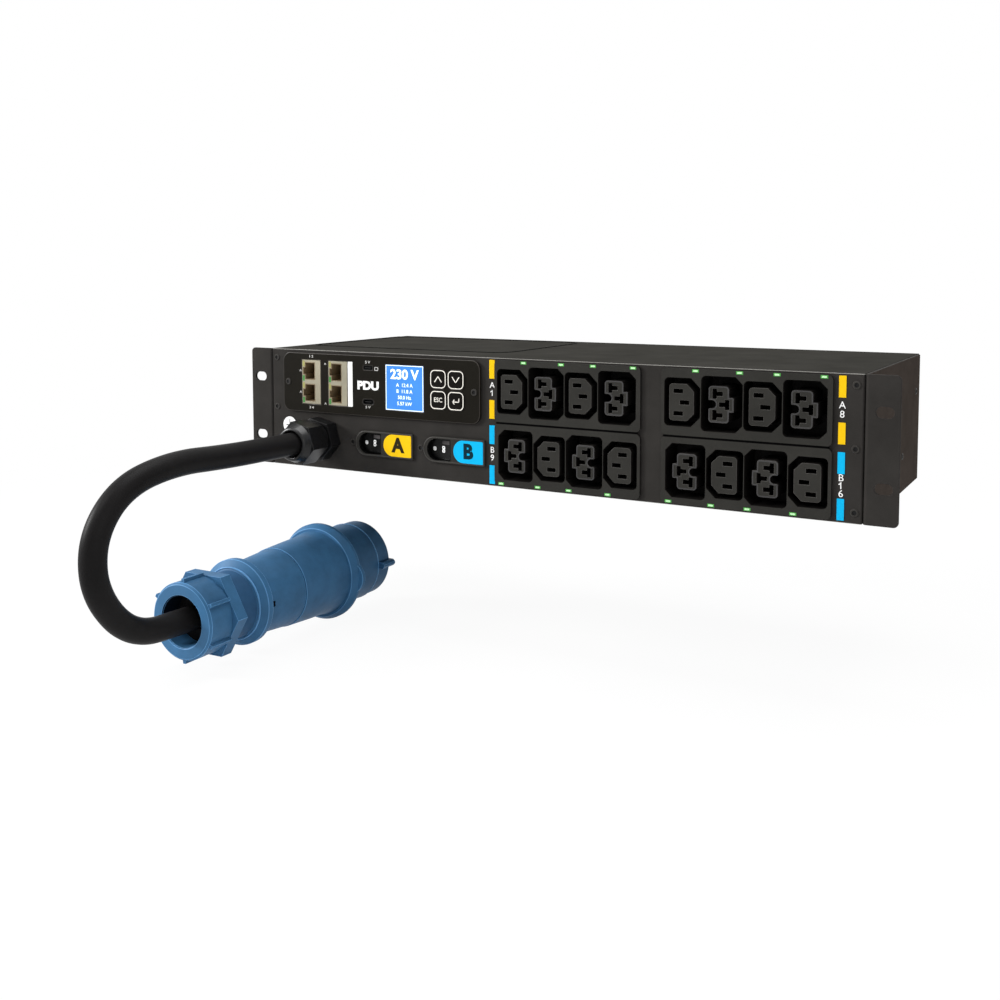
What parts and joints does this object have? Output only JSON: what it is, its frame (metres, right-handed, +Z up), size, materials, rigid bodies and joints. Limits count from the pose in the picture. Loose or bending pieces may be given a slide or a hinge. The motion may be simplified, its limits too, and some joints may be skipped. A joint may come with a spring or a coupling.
{
  "type": "rack power distribution unit",
  "caption": "Rack unit of keyed power outlets in blocks beside a display module with keys and network jacks, two rocker breakers, and a gland with a short cord and round plug.",
  "frame": {"origin": "middle of the four slots of the rack ears, on the rear face of the ears that meets the rack rails", "axes": "+X to the right seen from the front, +Y into the rack, +Z up"},
  "size_m": [0.4826, 0.4004, 0.2024],
  "materials": {
    "black_enamel": "fine textured powder coat",
    "black_screw": "black oxide",
    "module_plastic": "fine moulded grain",
    "jack_shield": "plated",
    "lamp_yellow": "clear",
    "lamp_green": "clear",
    "display_blue": "lit",
    "key_grey": "soft",
    "board": "laminate",
    "black_moulding": "satin moulding",
    "yellow_mark": "plain",
    "blue_mark": "plain",
    "white_mark": "plain",
    "contact_brass": "plated",
    "black_rubber": "soft sheen",
    "plug_blue": "satin moulding",
    "carrier_grey": "moulded",
    "winding": "laminated core"
  },
  "bodies": {
    "unit": {"blue_markers": "blue_mark", "breaker_a_bezel": "black_moulding", "breaker_a_body": "black_moulding", "breaker_a_tag": "yellow_mark", "breaker_b_bezel": "black_moulding", "breaker_b_body": "black_moulding", "breaker_b_tag": "blue_mark", "breaker_screws": "black_screw", "chassis_tray": "black_enamel", "controller_board": "board", "controller_faceplate": "module_plastic", "controller_screws": "black_screw", "cover_screws": "black_screw", "display": "display_blue", "ear_screws": "black_screw", "earth_disc": "white_mark", "front_panel": "black_enamel", "gland_body": "black_moulding", "gland_dome_nut": "black_moulding", "gland_locknut": "black_moulding", "gland_seal": "black_rubber", "input_cores": "black_rubber", "input_terminal_block": "black_moulding", "jack_lamps_green": "lamp_green", "jack_lamps_yellow": "lamp_yellow", "jack_liners": "module_plastic", "key_switches": "module_plastic", "left_ear": "black_enamel", "network_jack_left": "jack_shield", "network_jack_right": "jack_shield", "outlet_block_lower_left": "black_moulding", "outlet_block_lower_right": "black_moulding", "outlet_block_upper_left": "black_moulding", "outlet_block_upper_right": "black_moulding", "outlet_board_left": "board", "outlet_board_right": "board", "outlet_contacts": "contact_brass", "outlet_lamps": "lamp_green", "outlet_relays": "black_moulding", "panel_screws": "black_screw", "plug_cable_nut": "plug_blue", "plug_contact_pins": "contact_brass", "plug_front_shell": "plug_blue", "plug_grommet": "black_rubber", "plug_pin_carrier": "carrier_grey", "plug_rear_shell": "plug_blue", "plug_shroud": "plug_blue", "power_cord": "black_rubber", "power_supply_board": "board", "right_ear": "black_enamel", "supply_transformer": "winding", "top_cover": "black_enamel", "usb_ports": "jack_shield", "yellow_markers": "yellow_mark"},
    "key_up": {"key_up": "key_grey"},
    "key_down": {"key_down": "key_grey"},
    "key_escape": {"key_escape": "key_grey"},
    "key_enter": {"key_enter": "key_grey"},
    "breaker_a_rocker": {"breaker_a_rocker": "black_moulding"},
    "breaker_b_rocker": {"breaker_b_rocker": "black_moulding"}
  },
  "joints": [
    {"name": "key_up_press", "type": "slide", "parent": "unit", "child": "key_up", "axis": [0, 1, 0], "range_m": [0, 0.0005], "stiffness_N_per_m": 1500},
    {"name": "key_down_press", "type": "slide", "parent": "unit", "child": "key_down", "axis": [0, 1, 0], "range_m": [0, 0.0005], "stiffness_N_per_m": 1500},
    {"name": "key_escape_press", "type": "slide", "parent": "unit", "child": "key_escape", "axis": [0, 1, 0], "range_m": [0, 0.0005], "stiffness_N_per_m": 1500},
    {"name": "key_enter_press", "type": "slide", "parent": "unit", "child": "key_enter", "axis": [0, 1, 0], "range_m": [0, 0.0005], "stiffness_N_per_m": 1500},
    {"name": "breaker_a_rocker_rock", "type": "hinge", "parent": "unit", "child": "breaker_a_rocker", "pos_m": [-0.12925, 0.0026, -0.0221], "axis": [0, 0, 1], "range_deg": [0, 14]},
    {"name": "breaker_b_rocker_rock", "type": "hinge", "parent": "unit", "child": "breaker_b_rocker", "pos_m": [-0.06995, 0.0026, -0.0221], "axis": [0, 0, 1], "range_deg": [0, 14]}
  ]
}
